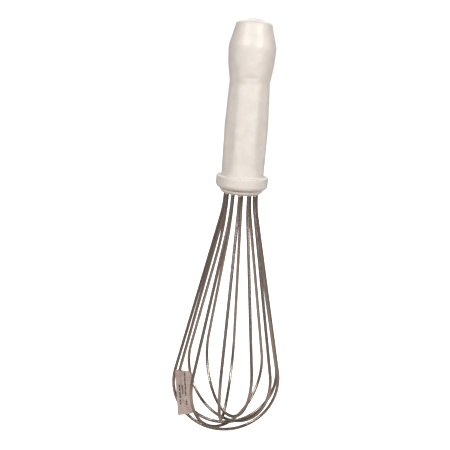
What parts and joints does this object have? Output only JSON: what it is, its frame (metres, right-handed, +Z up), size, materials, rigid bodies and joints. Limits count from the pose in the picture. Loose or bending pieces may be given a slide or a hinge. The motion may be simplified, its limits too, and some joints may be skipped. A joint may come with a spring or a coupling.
{
  "type": "whisk",
  "caption": "Balloon whisk: bent wire loops fixed in a hollow moulded handle with a domed pommel, an eight-sided grip and a round collar.",
  "frame": {"origin": "on the whisk's axis at the lowest point of the balloon, which is the middle of the bounding box's underside", "axes": "+Z runs up the whisk's axis to the pommel, -Y is the side the picture shows, and a grip flat faces -Y"},
  "size_m": [0.0792, 0.079, 0.3],
  "materials": {
    "handle_plastic": "satin moulded, off-white",
    "plug_plastic": "matt, slightly rough",
    "core_plastic": "matt moulded",
    "band_steel": "plain rolled",
    "seal_resin": "poured resin, amber",
    "wire_steel": "polished spring wire, darkened",
    "label_paper": "matt coated paper"
  },
  "bodies": {
    "root": {"handle": "handle_plastic", "wire_guide": "plug_plastic", "anchor_core": "core_plastic", "binding_band": "band_steel", "resin_seal": "seal_resin", "wire_loop_1": "wire_steel", "wire_loop_2": "wire_steel", "wire_loop_3": "wire_steel", "wire_loop_4": "wire_steel", "wire_loop_5": "wire_steel", "wire_loop_6": "wire_steel", "paper_label": "label_paper"}
  },
  "joints": []
}
